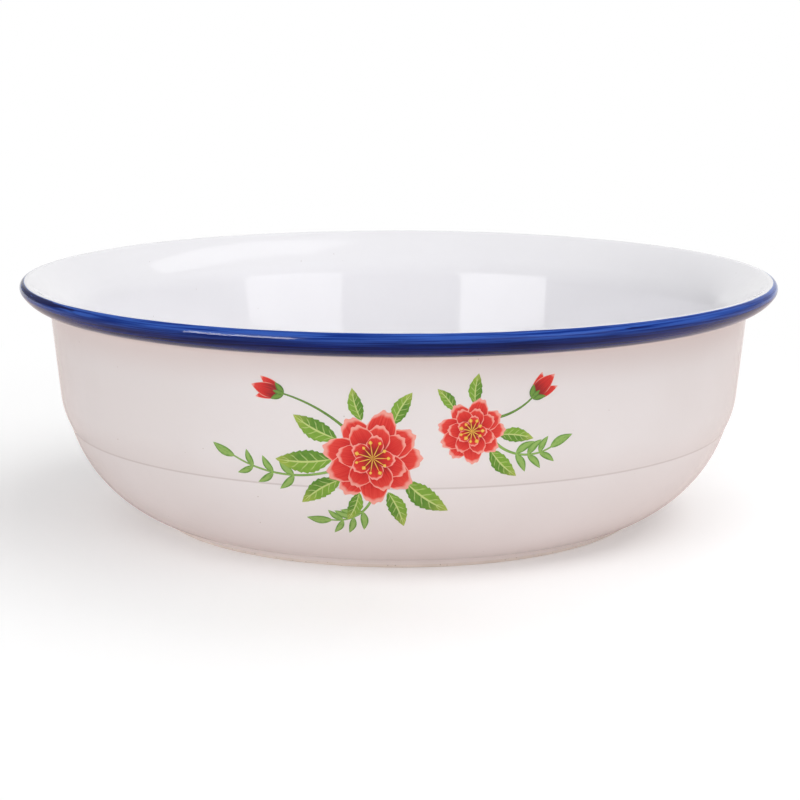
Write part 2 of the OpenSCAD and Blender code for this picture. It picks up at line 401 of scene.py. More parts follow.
class Graph:
    """Node tree of a material or the world, with short methods for the nodes that they share."""

    def __init__(self, owner: bpy.types.Material | bpy.types.World) -> None:
        """Start with an empty tree.

        Args:
            owner: Material or world that the tree belongs to.
        """
        self.owner = owner
        owner.use_nodes = True
        self.tree = owner.node_tree
        self.tree.nodes.clear()

    @classmethod
    def of_material(cls, name: str) -> "Graph":
        """Return the graph of a new material."""
        return cls(bpy.data.materials.new(name))

    def node(self, kind: str, inputs: dict[str | int, object], **settings: object) -> bpy.types.Node:
        """Add a node.

        Args:
            kind: Blender's name of the node type.
            inputs: Values or sockets for its inputs, by name or number.
            **settings: Properties of the node itself.

        Returns:
            The new node.
        """
        made = self.tree.nodes.new(kind)
        for name, value in settings.items():
            setattr(made, name, value)
        for key, value in inputs.items():
            self.feed(made.inputs[key], value)
        return made

    def feed(self, target: Socket, value: object) -> None:
        """Link a socket to an input, or set the input's own value.

        Args:
            target: Input to feed.
            value: Socket, colour, vector or number.
        """
        if isinstance(value, Socket):
            self.tree.links.new(value, target)
        elif isinstance(value, tuple) and target.type == "RGBA":
            target.default_value = (*value, 1.0)
        else:
            target.default_value = value

    def place(self) -> Socket:
        """Return the object's own coordinates, in metres."""
        return self.node("ShaderNodeTexCoord", {}).outputs["Object"]

    def attribute(self, name: str) -> bpy.types.Node:
        """Return the node that reads an attribute of the mesh."""
        return self.node("ShaderNodeAttribute", {}, attribute_name=name)

    def parts(self, vector: Socket) -> tuple[Socket, Socket, Socket]:
        """Return the three parts of a vector."""
        outputs = self.node("ShaderNodeSeparateXYZ", {"Vector": vector}).outputs
        return outputs["X"], outputs["Y"], outputs["Z"]

    def joined(self, x: object, y: object, z: object) -> Socket:
        """Return a vector made of three parts."""
        return self.node("ShaderNodeCombineXYZ", {"X": x, "Y": y, "Z": z}).outputs["Vector"]

    def math(self, operation: str, first: object, second: object = 0.0) -> Socket:
        """Return the result of a sum on one or two numbers."""
        return self.node("ShaderNodeMath", {0: first, 1: second}, operation=operation).outputs[0]

    def noise(self, vector: Socket, scale: float, detail: float = 2.0) -> Socket:
        """Return a noise between 0 and 1."""
        inputs = {"Vector": vector, "Scale": scale, "Detail": detail}
        return self.node("ShaderNodeTexNoise", inputs).outputs["Fac"]

    def step(
        self, value: Socket, low: object, high: object, start: float = 0.0, stop: float = 1.0
    ) -> Socket:
        """Return a smooth step from start to stop as the value goes from low to high."""
        inputs = {"Value": value, "From Min": low, "From Max": high, "To Min": start, "To Max": stop}
        return self.node("ShaderNodeMapRange", inputs, interpolation_type="SMOOTHSTEP").outputs["Result"]

    def mix(self, share: object, first: object, second: object) -> Socket:
        """Return a colour between two colours."""
        inputs = {0: share, 6: first, 7: second}
        return self.node("ShaderNodeMix", inputs, data_type="RGBA").outputs[2]

    def bump(self, height: Socket, distance: float, normal: Socket | None = None) -> Socket:
        """Bend the normals by a height.

        Args:
            height: Height from 0 to 1.
            distance: Rise of a height of 1, in metres.
            normal: Normals that are already bent.

        Returns:
            The bent normals.
        """
        inputs: dict[str | int, object] = {"Strength": 1.0, "Distance": distance, "Height": height}
        if normal is not None:
            inputs["Normal"] = normal
        return self.node("ShaderNodeBump", inputs).outputs["Normal"]

    def finish(self, surface: Socket) -> bpy.types.Material:
        """Join a shader to the output and return the material."""
        self.node("ShaderNodeOutputMaterial", {"Surface": surface})
        return self.owner

    def dressed(self, inputs: dict[str | int, object]) -> bpy.types.Material:
        """Return the material with one principled surface."""
        return self.finish(self.node("ShaderNodeBsdfPrincipled", inputs).outputs[0])


@dataclass(frozen=True)
class WhiteGlaze:
    """Glossy white glaze, uneven in tone, with a fine peel, a few pinholes, painted shade under the lip and
    in the incised line, and painted light on the thin glaze at the foot.
    """

    name: str
    colour: Colour
    shade: Colour
    # Thin glaze near the foot, painted lighter than the glaze as light on the shaded foot
    thin: Colour = (0.96, 0.90, 0.875)
    # Painted shade: darker, warmer colour on the wall just under the lip
    under_lip_shade: Colour = (0.72, 0.60, 0.56)
    pinhole: Colour = (0.36, 0.29, 0.25)
    # Painted shade in the incised line, where the glaze also pools
    crease_shade: Colour = (0.50, 0.46, 0.45)
    roughness: float = 0.05
    ior: float = 1.52
    cloud_scale: float = 16.0
    rough_scale: float = 45.0
    peel_scale: float = 240.0
    peel_depth: float = 0.000025
    hole_scale: float = 110.0
    hole_depth: float = 0.00006
    # Heights in metres of the thin glaze at the foot, which is painted lighter
    thin_and_lift_full: float = 0.0016
    thin_and_lift_end: float = 0.0048
    # Levels in metres of the painted shade under the lip and in the incised line: both lie off the basin
    # unless a coat sets them
    under_lip_shade_from: float = 1.0
    under_lip_shade_to: float = 2.0
    line_level: float = -1.0
    line_width: float = 0.0005

    def material(self) -> bpy.types.Material:
        """Make the glaze.

        Returns:
            The material.
        """
        graph = Graph.of_material(self.name)
        place = graph.place()
        height = graph.parts(place)[2]
        tone = graph.step(graph.noise(place, self.cloud_scale, 3.0), 0.3, 0.7)
        body = graph.mix(tone, self.colour, self.shade)
        # Glaze thinning towards the foot, painted lighter to lift the shade there
        thin = graph.step(height, self.thin_and_lift_full, self.thin_and_lift_end, 0.8, 0.0)
        body = graph.mix(thin, body, self.thin)
        # Painted shade that deepens up the wall towards the underside of the lip
        body = graph.mix(graph.step(height, self.under_lip_shade_from, self.under_lip_shade_to, 0.0, 0.5), body, self.under_lip_shade)
        # Painted shade along the incised line
        from_line = graph.math("ABSOLUTE", graph.math("SUBTRACT", height, self.line_level))
        body = graph.mix(graph.step(from_line, 0.0001, self.line_width, 0.5, 0.0), body, self.crease_shade)
        cells = graph.node("ShaderNodeTexVoronoi", {"Vector": place, "Scale": self.hole_scale})
        hole = graph.step(cells.outputs["Distance"], 0.014, 0.034, 0.6, 0.0)
        body = graph.mix(hole, body, self.pinhole)
        cloud = graph.noise(place, self.rough_scale)
        rough = graph.step(cloud, 0.3, 0.7, self.roughness * 0.75, self.roughness * 1.3)
        peel = graph.bump(graph.noise(place, self.peel_scale, 1.0), self.peel_depth)
        pitted = graph.bump(hole, self.hole_depth, peel)
        inputs = {"Base Color": body, "Roughness": rough, "Normal": pitted, "IOR": self.ior}
        return graph.dressed(inputs)


@dataclass(frozen=True)
class CobaltGlaze:
    """Banded cobalt glaze, brushed round the lip and paler where it thins at its edges, with painted
    highlight on top of the lip and painted shade on its underside.
    """

    name: str
    # Deep is painted shade on the underside and bright is painted highlight on the top of the band
    deep: Colour = (0.002, 0.003, 0.036)
    full: Colour = (0.002, 0.018, 0.190)
    bright: Colour = (0.046, 0.130, 0.530)
    thin: Colour = (0.150, 0.250, 0.600)
    # Dark patches along the upper edge: pooled glaze, and painted dark reflection at the band's left end
    pooled_and_dark_reflection: Colour = (0.005, 0.006, 0.070)
    white: Colour = (0.84, 0.83, 0.84)
    roughness: float = 0.045
    gloss: float = 0.11
    margin: float = 0.14
    fade: float = 0.50
    # Distance across the band, in millimetres, over which the painted shade of the underside sets in
    underside_shade_from: float = 2.4
    underside_shade_to: float = 6.8
    # Point at the band's left end where the painted dark reflection gathers, and the reach of that gathering
    overlap: Colour = (-0.145, -0.036, 0.094)
    overlap_from: float = 0.03
    overlap_to: float = 0.10
    overlap_top: float = 2.4
    overlap_end: float = 3.6
    overlap_scale: float = 40.0
    edge_step: float = 0.09
    wander_scale: float = 38.0
    brush_scale: float = 22.0
    stroke_share: float = 0.7
    cloud_scale: float = 55.0
    peel_scale: float = 260.0
    peel_depth: float = 0.00003
    ridge_depth: float = 0.00002

    def material(self) -> bpy.types.Material:
        """Make the band's glaze, which reads how far across the band a point lies.

        Returns:
            The material.
        """
        graph = Graph.of_material(self.name)
        place = graph.place()
        across = graph.attribute("across").outputs["Fac"]
        rest = graph.attribute("rest").outputs["Fac"]
        wander = graph.step(graph.noise(place, self.wander_scale, 3.0), 0.25, 0.75, -self.margin, self.margin)
        edge = graph.math("ADD", graph.math("MINIMUM", across, rest), wander)
        brushed = self.brushed(graph, place, across, self.brush_scale)
        stroke = graph.step(graph.noise(brushed, 1.5, 3.0), 0.36, 0.64)
        cloud = graph.noise(place, self.cloud_scale)
        strong = graph.math("MULTIPLY", stroke, self.stroke_share)
        depth = graph.math("ADD", strong, graph.math("MULTIPLY", cloud, 1 - self.stroke_share))
        # Painted light: the top of the band is lighter and its underside darker
        upper = graph.mix(depth, self.full, self.bright)
        lower = graph.mix(depth, self.deep, self.full)
        shaded_underside = graph.step(graph.math("ADD", across, cloud), self.underside_shade_from, self.underside_shade_to)
        body = graph.mix(shaded_underside, upper, lower)
        # Painted dark reflection at the band's left end, among patches of pooled glaze
        body = graph.mix(self.overlap_share(graph, place, across), body, self.pooled_and_dark_reflection)
        inner = self.margin + self.edge_step
        body = graph.mix(graph.step(edge, inner, self.margin + self.fade, 1.0, 0.0), body, self.thin)
        body = graph.mix(graph.step(edge, self.margin, inner, 1.0, 0.0), body, self.white)
        rough = graph.step(cloud, 0.3, 0.7, self.roughness * 0.7, self.roughness * 1.4)
        peel = graph.bump(graph.noise(place, self.peel_scale, 1.0), self.peel_depth)
        ridge = graph.bump(stroke, self.ridge_depth, peel)
        inputs = {"Base Color": body, "Roughness": rough, "Normal": ridge, "Specular IOR Level": self.gloss}
        return graph.dressed(inputs)

    def brushed(self, graph: Graph, place: Socket, across: Socket, scale: float) -> Socket:
        """Return coordinates in which brush strokes run round the lip."""
        x, y, _ = graph.parts(place)
        return graph.joined(graph.math("MULTIPLY", x, scale), graph.math("MULTIPLY", y, scale), across)

    def overlap_share(self, graph: Graph, place: Socket, across: Socket) -> Socket:
        """Return the share of dark patches: thick glaze, and painted dark reflection that gathers at the
        band's left end.

        Args:
            graph: Graph of the band.
            place: Place of a point in metres.
            across: How far across the band the point lies, in millimetres.

        Returns:
            Share of the dark colour, along the upper edge of the band.
        """
        ends = {0: place, 1: self.overlap}
        away = graph.node("ShaderNodeVectorMath", ends, operation="DISTANCE").outputs["Value"]
        near = graph.step(away, self.overlap_from, self.overlap_to, 0.30, 0.0)
        along = self.brushed(graph, place, across, self.overlap_scale)
        drift = graph.math("ADD", graph.noise(along, 0.9, 2.0), near)
        patch = graph.step(drift, 0.66, 0.71, 0.0, 0.92)
        return graph.math("MULTIPLY", patch, graph.step(across, self.overlap_top, self.overlap_end, 1.0, 0.0))


@dataclass(frozen=True)
class FiredClay:
    """Dry fired clay with grit, as it shows on the unglazed foot."""

    name: str
    colour: Colour = (0.90, 0.84, 0.79)
    dark: Colour = (0.83, 0.76, 0.70)
    grit: Colour = (0.40, 0.34, 0.29)
    roughness: float = 0.85
    cloud_scale: float = 60.0
    grit_scale: float = 700.0
    grain_scale: float = 1500.0
    grain_depth: float = 0.00015

    def material(self) -> bpy.types.Material:
        """Make the dry clay.

        Returns:
            The material.
        """
        graph = Graph.of_material(self.name)
        place = graph.place()
        cloud = graph.step(graph.noise(place, self.cloud_scale, 4.0), 0.3, 0.7)
        body = graph.mix(cloud, self.colour, self.dark)
        cells = graph.node("ShaderNodeTexVoronoi", {"Vector": place, "Scale": self.grit_scale})
        speck = graph.step(cells.outputs["Distance"], 0.08, 0.2, 0.7, 0.0)
        body = graph.mix(speck, body, self.grit)
        grain = graph.bump(graph.noise(place, self.grain_scale, 4.0), self.grain_depth)
        rough = graph.step(cloud, 0.0, 1.0, self.roughness - 0.1, self.roughness)
        inputs = {"Base Color": body, "Roughness": rough, "Normal": grain}
        return graph.dressed(inputs)


@dataclass(frozen=True)
class PetalInk:
    """Red print of the petals: deep at the root, bright towards a pale edge, with fine strokes."""

    name: str
    root: Colour = (0.27, 0.003, 0.005)
    middle: Colour = (0.66, 0.014, 0.012)
    tip: Colour = (0.84, 0.065, 0.045)
    edge: Colour = (0.93, 0.44, 0.37)
    strokes: float = 7.0
    stroke_depth: float = 0.75
    tone_shift: float = 23.0
    rim_from: float = 0.05
    rim_to: float = 0.14
    roughness: float = 0.13

    def material(self) -> bpy.types.Material:
        """Make the ink, which reads each petal's own across, along and tone.

        Returns:
            The material.
        """
        graph = Graph.of_material(self.name)
        across, along, tone = graph.parts(graph.attribute("blade").outputs["Vector"])
        side = graph.math("ABSOLUTE", across)
        fanned = graph.math("MULTIPLY", across, self.strokes)
        fan = graph.joined(fanned, along, graph.math("MULTIPLY", tone, self.tone_shift))
        stroke = graph.noise(fan, 1.4, 3.0)
        shift = graph.math("MULTIPLY", graph.math("SUBTRACT", stroke, 0.5), self.stroke_depth)
        light = graph.math("ADD", along, shift)
        light = graph.math("SUBTRACT", light, graph.math("MULTIPLY", tone, 0.12))
        body = graph.mix(graph.step(light, 0.12, 0.6), self.root, self.middle)
        body = graph.mix(graph.step(light, 0.5, 1.05), body, self.tip)
        near = graph.math("MINIMUM", graph.math("SUBTRACT", 1.0, side), graph.math("SUBTRACT", 1.0, along))
        rim = graph.step(near, self.rim_from, self.rim_to, 0.85, 0.0)
        rim = graph.math("MULTIPLY", rim, graph.step(along, 0.25, 0.6))
        body = graph.mix(rim, body, self.edge)
        inputs = {"Base Color": body, "Roughness": self.roughness, "IOR": INK_IOR}
        return graph.dressed(inputs)


@dataclass(frozen=True)
class LeafInk:
    """Green print of the leaves: a dark and a light half, a pale midrib and side veins."""

    name: str
    dark: Colour = (0.085, 0.250, 0.022)
    light: Colour = (0.235, 0.450, 0.045)
    tip: Colour = (0.46, 0.56, 0.09)
    vein: Colour = (0.60, 0.72, 0.26)
    veins: float = 6.0
    vein_slant: float = 1.1
    roughness: float = 0.13

    def material(self) -> bpy.types.Material:
        """Make the ink, which reads each leaf's own across, along and tone.

        Returns:
            The material.
        """
        graph = Graph.of_material(self.name)
        across, along, tone = graph.parts(graph.attribute("blade").outputs["Vector"])
        side = graph.math("ABSOLUTE", across)
        wash = graph.noise(graph.joined(across, graph.math("MULTIPLY", along, 4.0), tone), 2.2, 3.0)
        shade = graph.step(across, -0.06, 0.06, 0.15, 0.75)
        half = graph.math("ADD", shade, graph.math("SUBTRACT", wash, 0.5))
        body = graph.mix(half, self.dark, self.light)
        body = graph.mix(graph.step(along, 0.55, 1.1, 0.0, 0.8), body, self.tip)
        count = graph.math("MULTIPLY", along, self.veins)
        slant = graph.math("SUBTRACT", count, graph.math("MULTIPLY", side, self.vein_slant))
        place = graph.math("ABSOLUTE", graph.math("SUBTRACT", graph.math("FRACT", slant), 0.5))
        vein = graph.step(place, 0.05, 0.11, 0.55, 0.0)
        vein = graph.math("MULTIPLY", vein, graph.step(side, 0.55, 0.9, 1.0, 0.0))
        midrib = graph.step(side, 0.05, 0.12, 0.9, 0.0)
        midrib = graph.math("MULTIPLY", midrib, graph.step(along, 0.8, 1.0, 1.0, 0.0))
        body = graph.mix(graph.math("MAXIMUM", vein, midrib), body, self.vein)
        inputs = {"Base Color": body, "Roughness": self.roughness, "IOR": INK_IOR}
        return graph.dressed(inputs)


@dataclass(frozen=True)
class PlainInk:
    """Print of one colour that is denser in places, for stems, leaflets and stamens."""

    name: str
    light: Colour
    dark: Colour
    roughness: float = 0.13

    def material(self) -> bpy.types.Material:
        """Make the ink.

        Returns:
            The material.
        """
        graph = Graph.of_material(self.name)
        across, along, tone = graph.parts(graph.attribute("blade").outputs["Vector"])
        wash = graph.noise(graph.joined(across, graph.math("MULTIPLY", along, 3.0), tone), 1.6, 3.0)
        dense = graph.math("ADD", wash, graph.step(graph.math("ABSOLUTE", across), 0.3, 1.0, -0.15, 0.3))
        body = graph.mix(graph.step(dense, 0.3, 0.8), self.light, self.dark)
        inputs = {"Base Color": body, "Roughness": self.roughness, "IOR": INK_IOR}
        return graph.dressed(inputs)


Finish = WhiteGlaze | CobaltGlaze | FiredClay | PetalInk | LeafInk | PlainInk


@dataclass(frozen=True)
class Role:
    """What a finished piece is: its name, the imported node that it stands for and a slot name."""

    piece: str
    node: str
    slot: str


def finish_piece(shape: bmesh.types.BMesh, role: Role, finish: Finish, hand: HandWork) -> bpy.types.Object:
    """Make a shape in millimetres a finished piece of the basin.

    Args:
        shape: Closed shape, which is freed.
        role: Name and node of the piece.
        finish: Finish of its surface.
        hand: Unevenness that all pieces share.

    Returns:
        The object, riding on the basin's body.
    """
    for vert in shape.verts:
        vert.co = hand.moved(vert.co) * MM
    mesh = bpy.data.meshes.new(role.piece)
    shape.to_mesh(mesh)
    shape.free()
    mesh.shade_smooth()
    mesh.set_sharp_from_angle(angle=SHARP_ANGLE)
    mesh.materials.append(finish.material())
    piece = bpy.data.objects.new(role.piece, mesh)
    bpy.context.scene.collection.objects.link(piece)
    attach(piece, BODY)
    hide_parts(role.node)
    LOG.info("%s stands for %s, %d faces", role.piece, role.node, len(mesh.polygons))
    return piece


def turned(
    points: list[Vector], closed: bool, across: list[float] | None = None, steps: int = TURN_STEPS
) -> bmesh.types.BMesh:
    """Turn a section about the axis.

    Args:
        points: Section as (radius, height).
        closed: Whether the last point joins the first; otherwise both ends lie on the axis.
        across: How far each point lies from the first edge of a band.
        steps: Number of steps round the axis.

    Returns:
        Closed shape in millimetres.
    """
    shape = bmesh.new()
    if across is not None:
        from_first = shape.verts.layers.float.new("across")
        from_last = shape.verts.layers.float.new("rest")
    verts = [shape.verts.new((point.x, 0.0, point.y)) for point in points]
    if across is not None:
        reach = max(across)
        for vert, value in zip(verts, across):
            vert[from_first] = value
            vert[from_last] = reach - value
    ends = verts[1:] + verts[:1] if closed else verts[1:]
    edges = [shape.edges.new(pair) for pair in zip(verts, ends)]
    bmesh.ops.spin(
        shape, geom=verts + edges, cent=(0, 0, 0), axis=(0, 0, 1), angle=math.tau, steps=steps, use_merge=True
    )
    bmesh.ops.remove_doubles(shape, verts=shape.verts[:], dist=1e-4)
    bmesh.ops.recalc_face_normals(shape, faces=shape.faces[:])
    return shape


@dataclass
class ClayBody:
    """Fired clay: floor, wall, lip and foot ring in one piece."""

    section: Section
    hand: HandWork
    finish: FiredClay = FiredClay("bare_clay")

    def build(self) -> bpy.types.Object:
        """Build the clay.

        Returns:
            The finished piece.
        """
        section = self.section
        inside = section.inside_line(0.0)
        points = inside[::-1] + section.lip_line(0.0)[1:] + section.outside_line(0.0)[1:-1]
        points += section.bare_foot() + section.base_line(0.0)[-2::-1]
        role = Role("basin_clay", "clay_body", "bare_clay")
        return finish_piece(turned(points, False, steps=TURN_STEPS // 2), role, self.finish, self.hand)


@dataclass
class GlazeCoats:
    """White glaze inside, outside and under the foot."""

    section: Section
    hand: HandWork
    # How far below and above the lip's cove the painted shade under the lip reaches, in metres
    under_lip_shade_reach: float = 0.014
    under_lip_shade_over: float = 0.004
    # Painted light: the same white glaze as outside, made lighter and cooler inside the basin
    lit_inside_finish: WhiteGlaze = WhiteGlaze(
        "lit_inside_white_glaze", (0.925, 0.917, 0.945), (0.905, 0.897, 0.927)
    )

    def __post_init__(self) -> None:
        """Set the outside glaze's painted shade in the incised line and under the lip."""
        cove = self.section.cove_c.y * MM
        self.outside_finish = WhiteGlaze(
            "outside_white_glaze", (0.850, 0.845, 0.858), (0.823, 0.812, 0.818),
            under_lip_shade_from=cove - self.under_lip_shade_reach, under_lip_shade_to=cove + self.under_lip_shade_over,
            line_level=self.section.crease_c.y * MM,
        )

    def inside(self) -> bpy.types.Object:
        """Build the coat from the crown of the lip to the floor.

        Returns:
            The finished piece.
        """
        section = self.section
        points = section.inside_line(0.0)[::-1] + section.inside_line(section.glaze_t)
        role = Role("inside_coat", "inside_glaze", "inside_glaze")
        return finish_piece(turned(points, False), role, self.lit_inside_finish, self.hand)

    def outside(self) -> bpy.types.Object:
        """Build the coat from the lip to the foot, with a rounded edge on the foot.

        Returns:
            The finished piece.
        """
        section = self.section
        half = section.glaze_t / 2
        middle = Vector((section.foot_at(section.glaze_line, half), section.glaze_line + half))
        bead = arc(middle, half, -section.foot_taper, -180 - section.foot_taper)
        points = section.outside_line(section.glaze_t)[:-1] + bead + section.outside_line(0.0)[-2::-1]
        role = Role("outside_coat", "outside_glaze", "outside_glaze")
        return finish_piece(turned(points, True), role, self.outside_finish, self.hand)

    def base(self) -> bpy.types.Object:
        """Build the coat in the recess under the foot.

        Returns:
            The finished piece.
        """
        section = self.section
        half = section.glaze_t / 2
        middle = Vector((section.recess_r - half, section.glaze_line + half))
        bead = arc(middle, half, 0, -180)
        points = section.base_line(0.0)[:-1] + bead + section.base_line(section.glaze_t)[-2::-1]
        role = Role("base_coat", "base_glaze", "outside_glaze")
        return finish_piece(turned(points, False), role, self.outside_finish, self.hand)


@dataclass
class LipBand:
    """Cobalt band over the edge and underside of the lip, level with the white glaze at both ends."""

    section: Section
    hand: HandWork
    run_in: float = 1.6
    finish: CobaltGlaze = CobaltGlaze("cobalt_glaze")

    def build(self) -> bpy.types.Object:
        """Build the band.

        Returns:
            The finished piece.
        """
        section = self.section
        level = section.lip_line(section.glaze_t)
        proud = section.lip_line(section.band_t)
        reach = [0.0]
        for before, after in zip(level, level[1:]):
            reach.append(reach[-1] + (after - before).length)
        skin = []
        for low, high, run in zip(level, proud, reach):
            skin.append(low.lerp(high, ease(min(run, reach[-1] - run), 0.0, self.run_in)))
        points = skin + section.lip_line(0.0)[::-1]
        shape = turned(points, True, reach + reach[::-1])
        return finish_piece(shape, Role("lip_band", "rim_band", "blue_glaze"), self.finish, self.hand)


class Layer(Enum):
    """Height of a printed layer's face above the glaze."""

    STEM = 0.030
    LEAF = 0.045
    OUTER = 0.075
    MIDDLE = 0.105
    INNER = 0.135
    POLLEN = 0.175


@dataclass
class PrintFilm:
    """One printed colour: flat blades that are laid on the wall and given their thickness.

    A blade is a grid that runs across from -1 to 1 and along from 0 to 1.
    """

    section: Section
    level: float
    depth: float = 0.06
    crease_reach: tuple[float, ...] = (-1.4, -0.7, -0.35, 0.0, 0.35, 0.7, 1.4)
    shape: bmesh.types.BMesh = field(default_factory=bmesh.new)

    def __post_init__(self) -> None:
        """Add the layer that keeps each point's own place on its blade."""
        self.blade = self.shape.verts.layers.float_vector.new("blade")

    def add(
        self, outline: Outline, spot: Vector, turn: float, lift: float, tone: float, grid: tuple[int, int]
    ) -> None:
        """Add one flat blade.

        Args:
            outline: Place on the blade, in millimetres along +X, from its across and along.
            spot: Where the blade starts, across and up from the middle of the print.
            turn: Direction of the blade in degrees.
            lift: Height of its face above the glaze.
            tone: Number from 0 to 1 that its finish varies with.
            grid: How many cells it has across and along.
        """
        made = bmesh.ops.create_grid(self.shape, x_segments=grid[0], y_segments=grid[1], size=1.0)
        swing = Matrix.Rotation(math.radians(turn), 2)
        for vert in made["verts"]:
            across, along = vert.co.x, (vert.co.y + 1) / 2
            vert[self.blade] = Vector((across, along, tone))
            flat = spot + swing @ outline(across, along)
            vert.co = Vector((flat.x, flat.y, lift))
        bmesh.ops.remove_doubles(self.shape, verts=made["verts"], dist=0.002)

    def lay(self) -> bmesh.types.BMesh:
        """Lay the blades on the wall and thicken them.

        Returns:
            Closed shape in millimetres.
        """
        shape, section = self.shape, self.section
        crease = section.crease_c.y - self.level
        for offset in self.crease_reach:
            geometry = shape.verts[:] + shape.edges[:] + shape.faces[:]
            bmesh.ops.bisect_plane(shape, geom=geometry, plane_co=(0, crease + offset, 0), plane_no=(0, 1, 0))
        bmesh.ops.dissolve_degenerate(shape, edges=shape.edges[:], dist=0.001)
        for face in shape.faces:
            face.normal_update()
            if face.normal.z < 0:
                face.normal_flip()
        for vert in shape.verts:
            z = self.level + vert.co.y
            radius = section.surface_at(z, section.glaze_t + vert.co.z)
            vert.co = Vector((vert.co.x, -math.sqrt(radius * radius - vert.co.x ** 2), z))
        shape.normal_update()
        bmesh.ops.solidify(shape, geom=shape.faces[:], thickness=self.depth)
        return shape


@dataclass(frozen=True)
class Blossom:
    """Place and size of one blossom."""

    spot: Vector
    size: float

    def root(self, turn: float, share: float) -> Vector:
        """Return the point on a heading from the middle, at a share of the radius."""
        return polar(self.spot, self.size / 2 * share, turn)


@dataclass(frozen=True)
class Stem:
    """Arc that leaves a blossom on a heading, passes through a point and ends at a point."""

    blossom: Blossom
    turn: float
    through: Vector
    end: Vector
    root_share: float

    def centre(self) -> Vector:
        """Find the circle through the stem's three points.

        Returns:
            Its middle.
        """
        start = self.blossom.root(self.turn, self.root_share)
        m, n = self.through - start, self.end - start
        area = 2 * (m.x * n.y - m.y * n.x)
        mm, nn = m.length_squared, n.length_squared
        return start + Vector((n.y * mm - m.y * nn, m.x * nn - n.x * mm)) / area

    def at(self, share: float) -> tuple[Vector, float]:
        """Follow the stem.

        Args:
            share: Share of the arc, 0 at the blossom and 1 at the end.

        Returns:
            The point there, and the stem's heading in degrees.
        """
        centre = self.centre()
        start = self.blossom.root(self.turn, self.root_share) - centre
        sweep = (heading(self.end - centre) - heading(start) + 540) % 360 - 180
        angle = heading(start) + share * sweep
        return polar(centre, start.length, angle), angle + math.copysign(90, sweep)


